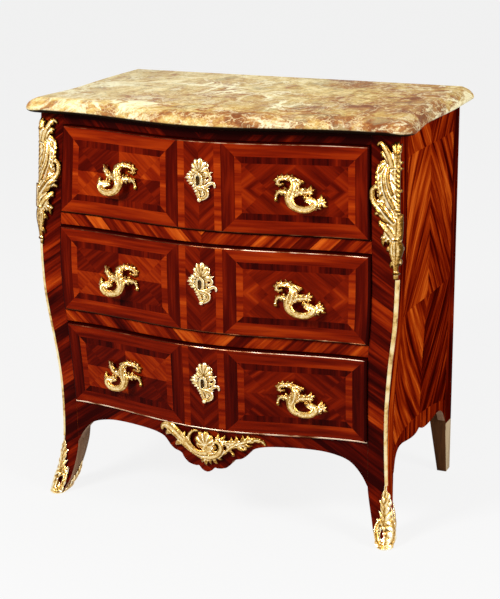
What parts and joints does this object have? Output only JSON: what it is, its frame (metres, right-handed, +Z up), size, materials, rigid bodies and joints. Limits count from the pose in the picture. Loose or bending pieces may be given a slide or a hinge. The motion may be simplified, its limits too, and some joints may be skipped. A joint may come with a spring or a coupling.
{
  "type": "commode chest",
  "caption": "Low bombe chest with a serpentine front, long sliding drawers with locks, cabriole legs, a moulded marble top and gilt mounts.",
  "frame": {"origin": "on the floor under the middle of the marble top", "axes": "+X to the right as seen from the front, +Y to the back, +Z up; the drawers open towards -Y"},
  "size_m": [0.8208, 0.514, 0.85],
  "materials": {
    "marble": "polished marble, cream with red-brown patches and pale veins",
    "veneer": "French polished figured veneer",
    "carcase_oak": "bare oak",
    "gilt_bronze": "gilt bronze, chased and burnished",
    "lock_iron": "filed iron"
  },
  "bodies": {
    "carcase": {"marble_top": "marble", "front_post_right": "veneer", "front_post_left": "veneer", "rear_post_right": "veneer", "rear_post_left": "veneer", "side_panel_right": "veneer", "side_panel_left": "veneer", "lower_divider_rail": "veneer", "upper_divider_rail": "veneer", "top_front_rail": "veneer", "front_apron": "veneer", "back_panel": "carcase_oak", "top_back_rail": "carcase_oak", "dust_board_lower": "carcase_oak", "dust_board_upper": "carcase_oak", "bottom_board": "carcase_oak", "bottom_runner_right": "carcase_oak", "bottom_runner_left": "carcase_oak", "middle_runner_right": "carcase_oak", "middle_runner_left": "carcase_oak", "top_runner_right": "carcase_oak", "top_runner_left": "carcase_oak", "corner_mount_right": "gilt_bronze", "corner_mount_left": "gilt_bronze", "sabot_right": "gilt_bronze", "sabot_left": "gilt_bronze", "corner_fillet_right": "gilt_bronze", "corner_fillet_left": "gilt_bronze", "apron_mount": "gilt_bronze"},
    "top_drawer": {"top_drawer_front": "veneer", "top_drawer_side_right": "carcase_oak", "top_drawer_side_left": "carcase_oak", "top_drawer_bottom": "carcase_oak", "top_drawer_back": "carcase_oak", "top_lock_case": "lock_iron", "top_handle_right": "gilt_bronze", "top_handle_left": "gilt_bronze", "top_escutcheon": "gilt_bronze"},
    "top_lock_bolt": {"top_lock_bolt": "lock_iron"},
    "middle_drawer": {"middle_drawer_front": "veneer", "middle_drawer_side_right": "carcase_oak", "middle_drawer_side_left": "carcase_oak", "middle_drawer_bottom": "carcase_oak", "middle_drawer_back": "carcase_oak", "middle_lock_case": "lock_iron", "middle_handle_right": "gilt_bronze", "middle_handle_left": "gilt_bronze", "middle_escutcheon": "gilt_bronze"},
    "middle_lock_bolt": {"middle_lock_bolt": "lock_iron"},
    "bottom_drawer": {"bottom_drawer_front": "veneer", "bottom_drawer_side_right": "carcase_oak", "bottom_drawer_side_left": "carcase_oak", "bottom_drawer_bottom": "carcase_oak", "bottom_drawer_back": "carcase_oak", "bottom_lock_case": "lock_iron", "bottom_handle_right": "gilt_bronze", "bottom_handle_left": "gilt_bronze", "bottom_escutcheon": "gilt_bronze"},
    "bottom_lock_bolt": {"bottom_lock_bolt": "lock_iron"}
  },
  "joints": [
    {"name": "top_drawer_slide", "type": "slide", "parent": "carcase", "child": "top_drawer", "axis": [0, -1, 0], "range_m": [0, 0.33]},
    {"name": "top_lock_bolt_slide", "type": "slide", "parent": "top_drawer", "child": "top_lock_bolt", "axis": [0, 0, 1], "range_m": [0, 0.009]},
    {"name": "middle_drawer_slide", "type": "slide", "parent": "carcase", "child": "middle_drawer", "axis": [0, -1, 0], "range_m": [0, 0.33]},
    {"name": "middle_lock_bolt_slide", "type": "slide", "parent": "middle_drawer", "child": "middle_lock_bolt", "axis": [0, 0, 1], "range_m": [0, 0.009]},
    {"name": "bottom_drawer_slide", "type": "slide", "parent": "carcase", "child": "bottom_drawer", "axis": [0, -1, 0], "range_m": [0, 0.33]},
    {"name": "bottom_lock_bolt_slide", "type": "slide", "parent": "bottom_drawer", "child": "bottom_lock_bolt", "axis": [0, 0, 1], "range_m": [0, 0.009]}
  ]
}
